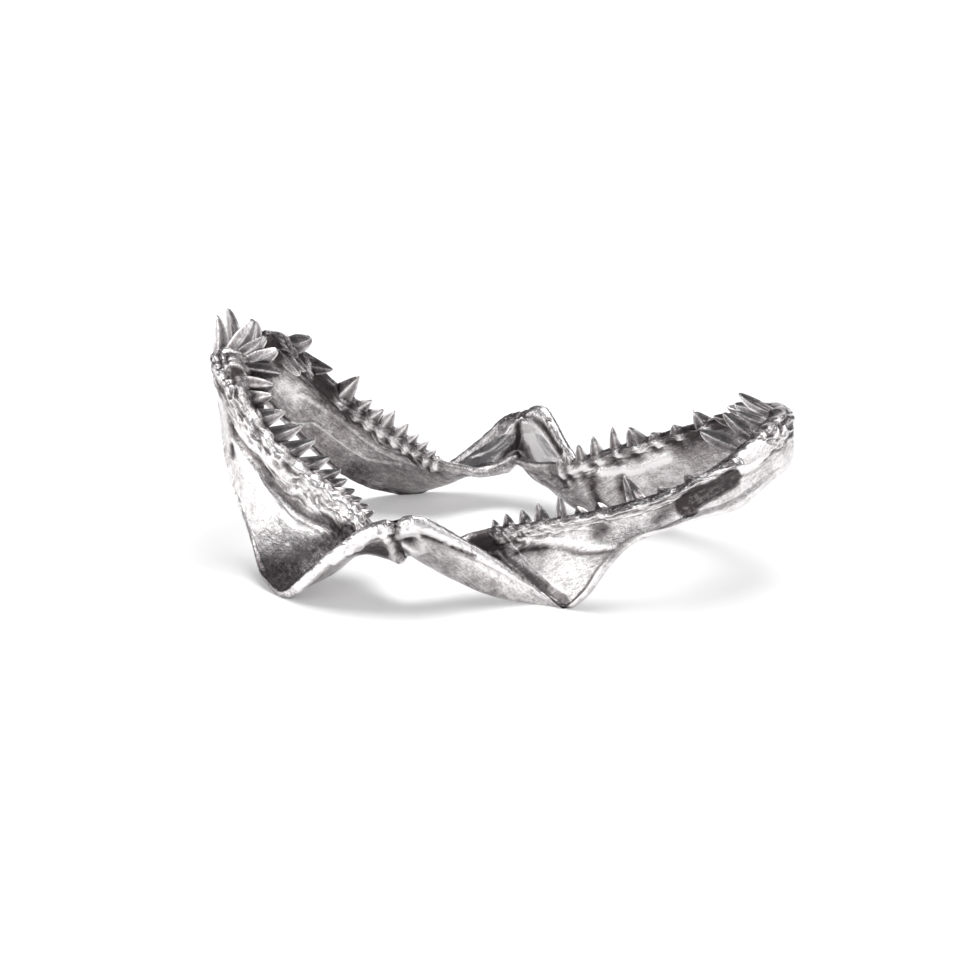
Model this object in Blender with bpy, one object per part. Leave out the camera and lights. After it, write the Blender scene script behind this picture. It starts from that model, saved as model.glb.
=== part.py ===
"""A cast-metal shark jaw, opened out flat and resting on the floor on its four jaw corners.

The lower jaw lies towards -X and the upper jaw towards +X, both with their teeth up and in. The near side
(-Y) is the animal's left. Each half of each jaw is a loft: a curved sheet of metal stretched between three
rails that run from the symphysis to the jaw joint, thickened to a bead along the tooth crest and the rim.
The two sides differ a little, as in a cast of a dried jaw: small lifts of the rails, and their own teeth.
Teeth and joint knuckles are joined to the half that they grow from.
"""

import math

import bmesh
import bpy
import numpy as np

MM = 0.001

# Driving sizes, in millimetres
CENTRE_X = -2.07  # middle of the ring's length, in the frame of the rails below
SEAM_GAP = 0.35  # cut between the two halves at a symphysis, and between the jaws
LOFT_STEPS = 27  # sections from symphysis to joint
SIDE_STEPS = 8  # points down each face of a section

# Rails of the lower jaw: (u, forward x, half width y, height z), from the symphysis (u 0) to the joint (u 1)
LOWER_CREST = [
    (0.00, -147, 0, 96),
    (0.08, -143, 14, 101),
    (0.16, -136, 26, 104),
    (0.25, -127, 37, 97),
    (0.34, -119, 44, 86),
    (0.45, -106, 50, 71),
    (0.58, -88, 53, 57),
    (0.70, -68, 54, 44),
    (0.80, -50, 57, 31.5),
    (0.90, -38, 73, 25.5),
    (1.00, -18.5, 91.8, 26.8),
]
LOWER_BELLY = [
    (0.00, -149, 0, 84),
    (0.16, -139.5, 26, 86),
    (0.25, -132.5, 37, 78),
    (0.45, -114.5, 53, 52),
    (0.58, -100, 61, 34),
    (0.70, -81, 70, 19),
    (0.80, -63, 80, 10.5),
    (0.90, -43, 88, 19),
    (1.00, -18.5, 98, 32),
]
LOWER_RIM = [
    (0.00, -148, 0, 71),
    (0.08, -146, 13, 70),
    (0.16, -141.5, 23, 67),
    (0.25, -138, 31, 59),
    (0.34, -133.5, 40, 49),
    (0.45, -124.5, 50, 35),
    (0.58, -110.5, 65, 17),
    (0.70, -94, 89, 4),
    (0.76, -80, 100, 0.9),
    (0.83, -63, 107, 15),
    (0.90, -46, 110, 31),
    (0.95, -32, 110, 42.5),
    (1.00, -18.5, 109, 47),
]
# Rails of the upper jaw
UPPER_CREST = [
    (0.00, 140, 0, 86.5),
    (0.07, 137, 14, 86.5),
    (0.15, 130, 30, 83),
    (0.24, 119, 45, 76.5),
    (0.34, 104, 56, 69),
    (0.46, 82, 62, 60),
    (0.58, 58, 64, 51),
    (0.68, 36, 63, 43),
    (0.78, 14, 64, 35),
    (0.85, 3, 74, 31),
    (0.92, -7, 83, 27.5),
    (1.00, -18.5, 91.8, 26.8),
]
UPPER_BELLY = [
    (0.00, 144, 0, 71.5),
    (0.15, 135, 26, 67),
    (0.34, 111, 53, 58),
    (0.46, 92, 61, 48),
    (0.58, 70, 65, 38),
    (0.68, 50, 66, 23),
    (0.75, 36, 68, 9),
    (0.80, 23, 75, 5),
    (0.84, 13, 81, 8),
    (0.88, 5, 85, 13),
    (0.94, -6, 89, 20),
    (1.00, -18.5, 98, 32),
]
UPPER_RIM = [
    (0.00, 142.5, 0, 58.5),
    (0.07, 141.5, 10, 57.5),
    (0.15, 137.5, 20, 53.5),
    (0.24, 129.5, 32, 47.5),
    (0.34, 118, 46, 45),
    (0.46, 103, 58, 39),
    (0.58, 85, 69, 32),
    (0.64, 76, 75, 22),
    (0.70, 67, 76, 8),
    (0.75, 56, 75, 0.1),
    (0.80, 42, 71, 7.5),
    (0.84, 29, 79, 19),
    (0.88, 17, 89, 30.5),
    (0.93, 3, 101.5, 43),
    (0.97, -8, 108, 49.5),
    (1.00, -18.5, 109, 47),
]
# The casting isn't quite even: what one side adds to a rail's z or to a bead's radius, as (u, amount)
LOWER_UNEVEN = {
    -1: {
        "crest_bead": [(0, 0), (0.1, 0), (0.2, 1.5), (0.3, 1.5), (0.45, 1), (0.6, 0.3), (0.75, 0), (1, 0)],
        "crest": [(0, 0), (0.86, 0), (0.91, 0), (0.96, -3.5), (0.985, -1), (1, 1.5)],
        "belly": [(0, 0), (0.76, 0), (0.82, 0), (0.87, 4), (0.91, 3.5), (0.95, 0), (1, 0)],
    },
    1: {
        "crest": [(0, 0), (0.82, 0), (0.87, 0), (0.92, -3.5), (0.97, -3), (1, 1)],
        "rim": [(0, 0), (0.78, 0), (0.83, 0), (0.89, -2.5), (0.93, -1.5), (0.96, 1.5), (1, 3.5)],
    },
}
UPPER_UNEVEN = {
    -1: {
        "crest_bead": [(0, 0), (0.12, 0), (0.22, 0), (0.32, -1.2), (0.45, -1.5), (0.65, -1.2), (0.78, 0), (1, 0)],
        "crest": [
            (0, -2), (0.1, -6), (0.2, -8.5), (0.3, -9), (0.45, -8), (0.7, -3.5), (0.82, 0), (0.88, 0), (0.94, 1.6), (1, 1.2),
        ],
        "belly": [(0, -1), (0.15, -3.5), (0.34, -4.5), (0.58, -3), (0.7, -1.5), (0.8, 0), (0.86, 0), (1, 0)],
        "rim": [(0, 0), (0.1, -0.5), (0.2, -3), (0.3, -3), (0.42, 0), (0.5, 0), (1, 0)],
    },
    1: {
        "crest": [(0, -2), (0.08, -0.5), (0.2, 0), (0.3, 0), (0.8, 0), (0.88, 0), (0.96, 1.5), (1, 1)],
        "belly": [(0, -1), (0.08, 0), (0.16, 0), (1, 0)],
        "rim": [
            (0, 0), (0.25, 0), (0.4, -4), (0.55, -4), (0.66, 0), (0.78, 0), (0.86, 0), (0.92, -1.5), (0.97, 3.8), (1, 3.5),
        ],
    },
}
# Half the plate's thickness, and bead radii along the crest and the rim: (u, size)
LOWER_PLATE = [(0, 3.0), (0.1, 2.2), (0.2, 1.35), (1, 1.35)]
LOWER_CREST_BEAD = [(0, 6.0), (0.12, 6.5), (0.22, 7.5), (0.33, 6.5), (0.5, 5.0), (0.8, 3.2), (0.92, 2.8), (1, 4.2)]
LOWER_RIM_BEAD = [(0, 3.6), (0.15, 2.4), (0.6, 1.7), (0.76, 2.4), (0.9, 2.8), (1, 4.2)]
UPPER_PLATE = [(0, 6.0), (0.08, 5.0), (0.18, 2.6), (0.3, 1.35), (1, 1.35)]
UPPER_CREST_BEAD = [(0, 6.5), (0.1, 7.2), (0.25, 7.0), (0.35, 6.0), (0.5, 5.0), (0.8, 3.2), (0.92, 2.8), (1, 4.2)]
UPPER_RIM_BEAD = [(0, 6.0), (0.15, 4.5), (0.3, 2.6), (0.6, 1.9), (0.75, 1.9), (0.85, 1.8), (0.94, 3.2), (1, 4.2)]

# Teeth of the left (-1) and the right (1) half: (u of the root along the crest, root's inset, how deep the root
# sits as a share of the crest bead's radius, tip x, y, z, width, degrees the blade is twisted about its length)
LOWER_TEETH = {
    -1: [
        (0.040, -3.5, 0.9, -150.6, 7.5, 118, 8.5, 75),
        (0.070, 0, 0.9, -130.5, 6.5, 117, 12, 80),
        (0.165, 0.5, 0.9, -118, 20, 111, 9.5, 60),
        (0.195, 3.5, 0.9, -110.5, 23, 105.5, 10.5, 44),
        (0.230, 6, 0.15, -107, 29, 94.5, 8.5, 35),
        (0.290, 2, 0.7, -105, 43, 91.5, 10.5, 15),
        (0.345, 1, 0.8, -106, 43, 86.5, 10.5, 13),
        (0.405, 0.5, 0.8, -98.5, 44, 79, 9.5, 12),
        (0.470, 0.5, 0.8, -89, 45, 73, 9.5, 10),
        (0.530, 0.5, 0.8, -82, 46, 66, 9, 10),
        (0.595, 0.5, 0.8, -74, 47, 58, 8.5, 10),
        (0.645, 0.5, 0.8, -68, 48, 52, 7.5, 10),
        (0.678, 0.5, 0.8, -64, 50, 48, 6.5, 10),
        (0.708, 0.5, 0.8, -60, 50, 43, 6, 10),
        (0.734, 0.5, 0.8, -56, 51, 39, 6, 10),
        (0.757, 0.5, 0.8, -52, 52, 36, 5.5, 10),
        (0.780, 0.5, 0.8, -49, 53, 33.5, 5, 10),
    ],
    1: [
        (0.040, -3.5, 0.9, -151, 7.5, 119, 8.5, 50),
        (0.090, 0, 0.9, -136, 9, 112.5, 7.5, 40),
        (0.235, 0.5, 0.8, -117, 40, 98, 11.5, 40),
        (0.205, 4.5, 0.9, -120, 29, 80, 8, 55),
        (0.250, 4, 0.9, -118.5, 34, 81.5, 6.5, 70),
        (0.335, 0.5, 0.8, -107, 44, 81, 9.5, 40),
        (0.475, 0.5, 0.8, -92, 44, 78.5, 10.5, 10),
        (0.540, 0.5, 0.8, -86, 47, 65, 7, 10),
        (0.586, 0.5, 0.8, -80, 48, 60, 7.5, 10),
        (0.627, 0.5, 0.8, -73, 47, 60, 8, 0),
        (0.673, 0.5, 0.8, -66, 48, 53, 7, 0),
        (0.705, 0.5, 0.8, -60, 48, 48, 5.5, 0),
        (0.735, 0.5, 0.8, -55, 49, 44, 5, 0),
        (0.762, 0.5, 0.8, -51, 50, 39, 4.5, 0),
        (0.786, 0.5, 0.8, -49, 53, 34, 4, 0),
    ],
}
UPPER_TEETH = {
    -1: [
        (0.030, 0, 0.7, 123, 8, 86, 6, 50),
        (0.100, 0.5, 0.6, 118, 16, 87, 7.5, 40),
        (0.070, 4, 0.9, 121, 10, 78, 5.5, 45),
        (0.150, 0.5, 0.4, 109.5, 28, 80, 9.5, 35),
        (0.298, 0.5, 0.8, 107, 50, 64, 7, 10),
        (0.367, 0.5, 0.8, 95, 55, 58, 7, 0),
        (0.438, 0.5, 0.8, 79, 57, 63, 7.5, -10),
        (0.524, 0.5, 0.8, 67, 60, 49.5, 6.5, -15),
        (0.572, 0.5, 0.8, 57, 61, 47, 6, -15),
        (0.619, 0.5, 0.8, 48, 61, 53, 4.5, -20),
        (0.662, 0.5, 0.8, 37, 60, 47, 6, -20),
        (0.700, 0.5, 0.8, 29, 60, 43, 5.5, -20),
        (0.736, 0.5, 0.8, 21, 59.5, 40, 5, -15),
        (0.765, 0.5, 0.8, 15, 61, 37, 4.5, 0),
    ],
    1: [
        (0.040, 0, 0.6, 120.5, 8, 91.5, 7, -60),
        (0.070, 0.5, 0.6, 117.5, 13, 84.5, 7.5, -75),
        (0.100, 4, 0.8, 119, 10, 80, 6, -75),
        (0.180, 0.5, 0.8, 110, 33, 78, 7, 75),
        (0.300, 2, 0.8, 100, 48, 69, 7, 60),
        (0.403, 0.5, 0.8, 87, 58, 69, 8.5, 38),
        (0.484, 0.5, 0.8, 76, 60, 60, 8, 30),
        (0.543, 0.5, 0.8, 64, 61, 54.5, 8, 30),
        (0.590, 0.5, 0.8, 52, 61, 57, 9.5, 20),
        (0.643, 0.5, 0.8, 43, 61, 57, 5, 10),
        (0.688, 0.5, 0.8, 33, 60, 51, 6, 10),
        (0.724, 0.5, 0.8, 25, 59.5, 46, 5.5, 10),
        (0.753, 0.5, 0.8, 19, 59.5, 40, 5, 10),
        (0.780, 0.5, 0.8, 14, 61, 37, 4.5, 10),
    ],
}
# Outline of a tooth: (share of the height, share of the width)
LEAF_LEVELS = [(0.0, 0.8), (0.35, 1.0), (0.65, 0.8), (0.87, 0.46), (1.0, 0.06)]
BLADE_LEVELS = [(0.0, 1.3), (0.38, 1.05), (0.7, 0.5), (1.0, 0.06)]
LEAF_END = 0.26  # teeth with their root before this u are leaf shaped, the others are triangular blades

# Joint knuckles: (centre x, half width y, height z, radii x, y, z)
LOWER_KNUCKLES = [
    (-25.5, 90.5, 22.5, 5.5, 4.5, 4.6),
    (-24, 109.5, 45, 5.0, 3.6, 3.6),
]
UPPER_KNUCKLES = [
    (-13, 92.5, 27, 6.5, 4.8, 4.8),
    (-9.5, 108.5, 47.8, 6.5, 3.8, 3.6),
]
JOINT_X = -18.5  # plane that parts the jaws at the joint

METAL_COLOUR = (0.78, 0.77, 0.76, 1.0)
METAL_ROUGHNESS = 0.22


def along(stations, u, mirrored):
    """Smooth curve through the stations: a cubic Hermite with the slopes of its neighbours.

    A rail that crosses the symphysis is continued by its own mirror image, so it leaves it square.
    """
    table = np.array(stations, float)
    keys = table[:, 0]
    values = table[:, 1:]
    if mirrored:
        flip = np.ones(values.shape[1])
        if values.shape[1] == 3:
            flip[1] = -1
        keys = np.concatenate([-keys[2:0:-1], keys])
        values = np.concatenate([values[2:0:-1] * flip, values])
    slopes = np.gradient(values, keys, axis=0)
    i = np.clip(np.searchsorted(keys, u, side="right") - 1, 0, len(keys) - 2)
    span = (keys[i + 1] - keys[i])[:, None]
    t = ((u - keys[i])[:, None]) / span
    return (
        (2 * t**3 - 3 * t**2 + 1) * values[i]
        + (t**3 - 2 * t**2 + t) * span * slopes[i]
        + (-2 * t**3 + 3 * t**2) * values[i + 1]
        + (t**3 - t**2) * span * slopes[i + 1]
    )


def unit(vectors):
    return vectors / np.maximum(np.linalg.norm(vectors, axis=-1, keepdims=True), 1e-9)


def rail(jaw, side, name, u):
    """Points of one rail, on the +Y side, with that side's own lift."""
    points = along(jaw["rails"][name], u, True)
    if name in jaw["uneven"][side]:
        points[:, 2] += along(jaw["uneven"][side][name], u, True)[:, 0]
    return points


def bead_radius(jaw, side, name, u):
    """Radius of a bead, with that side's own addition."""
    radius = along(jaw[name], u, False)
    if name in jaw["uneven"][side]:
        radius = radius + along(jaw["uneven"][side][name], u, False)
    return radius


def sheet(jaw, side, u, v):
    """Points (u, v) of the middle of the metal: a parabola from crest through belly to rim."""
    crest, belly, rim = (rail(jaw, side, name, u)[:, None] for name in ("crest", "belly", "rim"))
    v = np.asarray(v)[None, :, None]
    return crest * (1 - v) * (1 - 2 * v) + belly * 4 * v * (1 - v) + rim * v * (2 * v - 1)


def half_thickness(v, width, plate, crest_bead, rim_bead):
    """Half the metal's thickness down a section: a round bead at the crest, a thin plate, a round rim."""
    from_crest = v * width
    from_rim = (1 - v) * width

    def bead(distance, radius):
        rounded = np.sqrt(np.clip(radius**2 - (distance - radius) ** 2, 0, None))
        fade = np.exp(-(((distance - radius) / (1.1 * radius)) ** 2))
        return np.where(distance < radius, rounded, radius * fade)

    plate = plate * np.sqrt(np.clip(1 - (1 - np.clip(from_crest / 2, 0, 1)) ** 2, 0, 1))
    plate = plate * np.sqrt(np.clip(1 - (1 - np.clip(from_rim / 1.6, 0, 1)) ** 2, 0, 1))
    return np.maximum(plate, np.maximum(bead(from_crest, crest_bead), bead(from_rim, rim_bead)))


def loft(jaw, side, u_count, v_count):
    """Rings of points round each section of one half jaw, in millimetres, on the +Y side."""
    u = np.linspace(0, 1, u_count + 1)
    # Points lie closer together at the two rounded edges
    v = 0.5 - 0.5 * np.cos(np.linspace(0, math.pi, v_count + 2))
    middle = sheet(jaw, side, u, v)
    along_u = np.gradient(middle, u, axis=0)
    along_u[0] = (0, 1, 0)
    along_v = np.gradient(middle, v, axis=1)
    labial = unit(np.cross(along_u, along_v)) * jaw["labial_sign"]
    width = np.linalg.norm(np.diff(middle, axis=1), axis=2).sum(axis=1)[:, None]
    plate, crest_bead, rim_bead = (bead_radius(jaw, side, name, u) for name in ("plate", "crest_bead", "rim_bead"))
    half = half_thickness(v[None, :], width, plate, crest_bead, rim_bead)
    outer = middle + labial * half[..., None]
    inner = middle - labial * half[..., None]
    ring = np.concatenate([middle[:, :1], outer[:, 1:-1], middle[:, -1:], inner[:, -2:0:-1]], axis=1)
    ring[0, :, 1] = SEAM_GAP / 2
    ring[-1, :, 0] = JOINT_X
    return ring


def mesh_of_rings(name, ring):
    """A closed mesh from rings of points, each end closed by one face."""
    count, around = ring.shape[:2]
    verts = [tuple(p) for p in ring.reshape(-1, 3)]
    index = np.arange(count * around).reshape(count, around)
    nxt = np.roll(index, -1, axis=1)
    faces = np.stack([index[:-1], nxt[:-1], nxt[1:], index[1:]], axis=-1).reshape(-1, 4).tolist()
    faces.append(index[0, ::-1].tolist())
    faces.append(index[-1].tolist())
    mesh = bpy.data.meshes.new(name)
    mesh.from_pydata(verts, [], faces)
    return mesh


def tidy(mesh):
    """Welds coincident points, splits the faces into triangles and turns them all outwards."""
    bm = bmesh.new()
    bm.from_mesh(mesh)
    bmesh.ops.remove_doubles(bm, verts=bm.verts, dist=0.02 * MM)
    bmesh.ops.triangulate(bm, faces=bm.faces)
    bmesh.ops.recalc_face_normals(bm, faces=bm.faces)
    bm.to_mesh(mesh)
    bm.free()


def place(jaw, points, side):
    """Millimetre points of the +Y half, kept clear of the seams and the floor, on their own side, in metres."""
    moved = np.array(points, float)
    edge = JOINT_X + jaw["joint_sign"] * SEAM_GAP / 2
    moved[..., 0] = np.maximum(moved[..., 0] * jaw["joint_sign"], edge * jaw["joint_sign"]) * jaw["joint_sign"]
    moved[..., 0] -= CENTRE_X
    moved[..., 1] = np.maximum(moved[..., 1], SEAM_GAP / 2) * side
    moved[..., 2] = np.maximum(moved[..., 2], 0)
    return moved * MM


def crest_frame(jaw, side, u):
    """At one u: the crest point, the way up out of the crest, the way in to the mouth, the way back."""
    points = sheet(jaw, side, np.array([u]), np.array([0.0, 0.08]))[0]
    ends = rail(jaw, side, "crest", np.array([u - 0.004, u + 0.004]))
    back = unit(ends[1] - ends[0])
    out = points[0] - points[1]
    out = unit(out - back * np.dot(out, back))
    inward = unit(np.cross(back, out)) * jaw["labial_sign"]
    return points[0], out, inward, back


def tooth_rings(base, tip, inward, back, width, twist, levels):
    """A tooth: lens-shaped sections that shrink to a point and curl in towards the mouth."""
    up = tip - base
    height = np.linalg.norm(up)
    across = unit(back - up * np.dot(back, up) / height**2)
    face = unit(np.cross(up, across))
    face = face * np.sign(np.dot(face, inward))
    turned = across * math.cos(twist) + face * math.sin(twist)
    face = face * math.cos(twist) - across * math.sin(twist)
    around = np.linspace(0, 2 * math.pi, 6, endpoint=False) + math.pi / 6
    rings = []
    for level, share in levels:
        centre = base + up * level + inward * height * 0.25 * (level - level**2)
        half_width = width / 2 * share
        half_depth = width / 3.4 * share
        rings.append(
            centre
            + np.outer(np.sin(around) * half_width, turned)
            + np.outer(np.cos(around) * half_depth, face)
        )
    return np.array(rings)


def add_teeth(jaw, side):
    """One mesh object for each tooth of a half jaw."""
    teeth = []
    for number, (u, inset, sink, x, y, z, width, twist) in enumerate(jaw["teeth"][side]):
        crest, out, inward, back = crest_frame(jaw, side, u)
        bead = bead_radius(jaw, side, "crest_bead", np.array([u]))[0, 0]
        base = crest - out * bead * sink + inward * inset
        levels = LEAF_LEVELS if u < LEAF_END else BLADE_LEVELS
        tip = np.array((x, y, z), float)
        rings = tooth_rings(base, tip, inward, back, width, math.radians(twist), levels)
        mesh = mesh_of_rings(f"tooth_{number}", place(jaw, rings, side))
        tidy(mesh)
        teeth.append(bpy.data.objects.new(f"tooth_{number}", mesh))
    return teeth


def add_knuckles(jaw, side):
    """Rounded lumps at the jaw joint."""
    knuckles = []
    for number, (x, y, z, rx, ry, rz) in enumerate(jaw["knuckles"]):
        turn = np.linspace(0, 2 * math.pi, 10, endpoint=False)
        rings = []
        for tilt in np.linspace(-0.92, 0.92, 6) * math.pi / 2:
            ring = np.stack(
                [
                    x + rx * math.cos(tilt) * np.cos(turn),
                    y + ry * math.cos(tilt) * np.sin(turn),
                    z + rz * math.sin(tilt) + 0 * turn,
                ],
                axis=-1,
            )
            rings.append(ring)
        mesh = mesh_of_rings(f"knuckle_{number}", place(jaw, np.array(rings), side))
        tidy(mesh)
        knuckles.append(bpy.data.objects.new(f"knuckle_{number}", mesh))
    return knuckles


def union(target, others):
    """Joins the other objects to the target with exact Booleans and removes them."""
    for other in others:
        bpy.context.scene.collection.objects.link(other)
        modifier = target.modifiers.new("join", "BOOLEAN")
        modifier.operation = "UNION"
        modifier.solver = "EXACT"
        modifier.object = other
    graph = bpy.context.evaluated_depsgraph_get()
    joined = bpy.data.meshes.new_from_object(target.evaluated_get(graph))
    target.modifiers.clear()
    target.data = joined
    for other in others:
        bpy.data.objects.remove(other)


def metal():
    """Bright cast metal."""
    material = bpy.data.materials.new("cast_metal")
    material.use_nodes = True
    shader = material.node_tree.nodes["Principled BSDF"]
    shader.inputs["Base Color"].default_value = METAL_COLOUR
    shader.inputs["Metallic"].default_value = 1.0
    shader.inputs["Roughness"].default_value = METAL_ROUGHNESS
    return material


LOWER = {
    "rails": {"crest": LOWER_CREST, "belly": LOWER_BELLY, "rim": LOWER_RIM},
    "uneven": LOWER_UNEVEN,
    "plate": LOWER_PLATE,
    "crest_bead": LOWER_CREST_BEAD,
    "rim_bead": LOWER_RIM_BEAD,
    "teeth": LOWER_TEETH,
    "knuckles": LOWER_KNUCKLES,
    "labial_sign": 1,
    "joint_sign": -1,
}
UPPER = {
    "rails": {"crest": UPPER_CREST, "belly": UPPER_BELLY, "rim": UPPER_RIM},
    "uneven": UPPER_UNEVEN,
    "plate": UPPER_PLATE,
    "crest_bead": UPPER_CREST_BEAD,
    "rim_bead": UPPER_RIM_BEAD,
    "teeth": UPPER_TEETH,
    "knuckles": UPPER_KNUCKLES,
    "labial_sign": -1,
    "joint_sign": 1,
}


def build_half(name, jaw, side, material, collection):
    """One half of one jaw, with its teeth and its knuckles, as one solid."""
    ring = place(jaw, loft(jaw, side, LOFT_STEPS, SIDE_STEPS), side)
    mesh = mesh_of_rings(name, ring)
    tidy(mesh)
    half = bpy.data.objects.new(name, mesh)
    collection.objects.link(half)
    union(half, add_teeth(jaw, side) + add_knuckles(jaw, side))
    half.data.name = name
    half.data.materials.clear()
    half.data.materials.append(material)
    half.data.shade_smooth()
    half.data.set_sharp_from_angle(angle=math.radians(35))
    return half


def main():
    for obj in list(bpy.data.objects):
        bpy.data.objects.remove(obj)
    collection = bpy.data.collections.new("shark_jaw")
    bpy.context.scene.collection.children.link(collection)
    material = metal()
    build_half("lower_jaw_left", LOWER, -1, material, collection)
    build_half("lower_jaw_right", LOWER, 1, material, collection)
    build_half("upper_jaw_left", UPPER, -1, material, collection)
    build_half("upper_jaw_right", UPPER, 1, material, collection)


main()
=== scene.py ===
import math

import bpy
import numpy as np
from mathutils import Matrix, Vector


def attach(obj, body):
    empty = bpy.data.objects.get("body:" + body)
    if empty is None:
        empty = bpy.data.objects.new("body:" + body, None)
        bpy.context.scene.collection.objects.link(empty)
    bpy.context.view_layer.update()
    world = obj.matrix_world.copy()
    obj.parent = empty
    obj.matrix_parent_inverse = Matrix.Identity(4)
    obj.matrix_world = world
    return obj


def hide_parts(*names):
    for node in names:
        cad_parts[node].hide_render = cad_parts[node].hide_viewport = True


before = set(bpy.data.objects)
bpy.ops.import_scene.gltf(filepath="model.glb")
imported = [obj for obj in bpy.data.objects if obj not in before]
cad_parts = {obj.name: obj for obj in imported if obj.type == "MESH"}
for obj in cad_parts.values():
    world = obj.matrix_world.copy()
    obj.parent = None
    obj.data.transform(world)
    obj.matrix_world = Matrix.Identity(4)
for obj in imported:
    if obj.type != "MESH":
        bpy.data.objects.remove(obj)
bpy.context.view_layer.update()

print("frame loaded:", sorted(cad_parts))

mm = 0.001
ringCentreX = -2.07  # mm, moved to x = 0 when a piece is placed
jointX = -18.5  # mm, plane where the two jaws meet

# Rails of each half jaw in mm: u from the symphysis (0) to the jaw joint (1), then x, y half width and z up.
# The halves are a little uneven: "lifts" is what each side (-1 left, 1 right) adds to a rail's z or a
# bead's radius. Plate and beads are tables of (u, mm); the plate's is half its thickness.
lowerJaw = {
    "crest": [
        (0.00, -147, 0, 96), (0.08, -143, 14, 101), (0.16, -136, 26, 104), (0.25, -127, 37, 97),
        (0.34, -119, 44, 86), (0.45, -106, 50, 71), (0.58, -88, 53, 57), (0.70, -68, 54, 44),
        (0.80, -50, 57, 31.5), (0.90, -38, 73, 25.5), (1.00, -18.5, 91.8, 26.8),
    ],
    "belly": [
        (0.00, -149, 0, 84), (0.16, -139.5, 26, 86), (0.25, -132.5, 37, 78), (0.45, -114.5, 53, 52),
        (0.58, -100, 61, 34), (0.70, -81, 70, 19), (0.80, -63, 80, 10.5), (0.90, -43, 88, 19),
        (1.00, -18.5, 98, 32),
    ],
    "rim": [
        (0.00, -148, 0, 71), (0.08, -146, 13, 70), (0.16, -141.5, 23, 67), (0.25, -138, 31, 59),
        (0.34, -133.5, 40, 49), (0.45, -124.5, 50, 35), (0.58, -110.5, 65, 17), (0.70, -94, 89, 4),
        (0.76, -80, 100, 0.9), (0.83, -63, 107, 15), (0.90, -46, 110, 31), (0.95, -32, 110, 42.5),
        (1.00, -18.5, 109, 47),
    ],
    "lifts": {
        -1: {
            "crestBead": [(0, 0), (0.1, 0), (0.2, 1.5), (0.3, 1.5), (0.45, 1), (0.6, 0.3), (0.75, 0), (1, 0)],
            "crest": [(0, 0), (0.86, 0), (0.91, 0), (0.96, -3.5), (0.985, -1), (1, 1.5)],
            "belly": [(0, 0), (0.76, 0), (0.82, 0), (0.87, 4), (0.91, 3.5), (0.95, 0), (1, 0)],
        },
        1: {
            "crest": [(0, 0), (0.82, 0), (0.87, 0), (0.92, -3.5), (0.97, -3), (1, 1)],
            "rim": [(0, 0), (0.78, 0), (0.83, 0), (0.89, -2.5), (0.93, -1.5), (0.96, 1.5), (1, 3.5)],
        },
    },
    "plate": [(0, 3.0), (0.1, 2.2), (0.2, 1.35), (1, 1.35)],
    "crestBead": [
        (0, 6.0), (0.12, 6.5), (0.22, 7.5), (0.33, 6.5), (0.5, 5.0), (0.8, 3.2), (0.92, 2.8), (1, 4.2),
    ],
    "rimBead": [(0, 3.6), (0.15, 2.4), (0.6, 1.7), (0.76, 2.4), (0.9, 2.8), (1, 4.2)],
    "collar": 0.9,  # how strongly the gum swells round each tooth
    "blotch": 0.35,  # how blotchy the features' painted light and tarnish are
    "plateWave": 1.0,  # how uneven the plates are
    "innerShade": 0.55,  # how much painted shade darkens the inner face
    "bandShade": 0.3,  # and painted shade on the band along its rear rim
    "rimLine": 0.6,  # strength of the groove and of the painted shadow line between that band and the rim
    "labialSign": 1,  # which way the outer face lies from the sheet
    "jointSign": -1,  # which side of the joint plane the jaw lies on
    "gumDepth": [(0, 14), (0.3, 17), (0.6, 15), (0.78, 15), (1, 10)],  # mm that the gum reaches below the crest
    "gumHeight": [(0, 1.3), (0.2, 1.2), (0.4, 0.9), (0.78, 0.85), (0.86, 0.2), (1, 0.1)],
}
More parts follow.
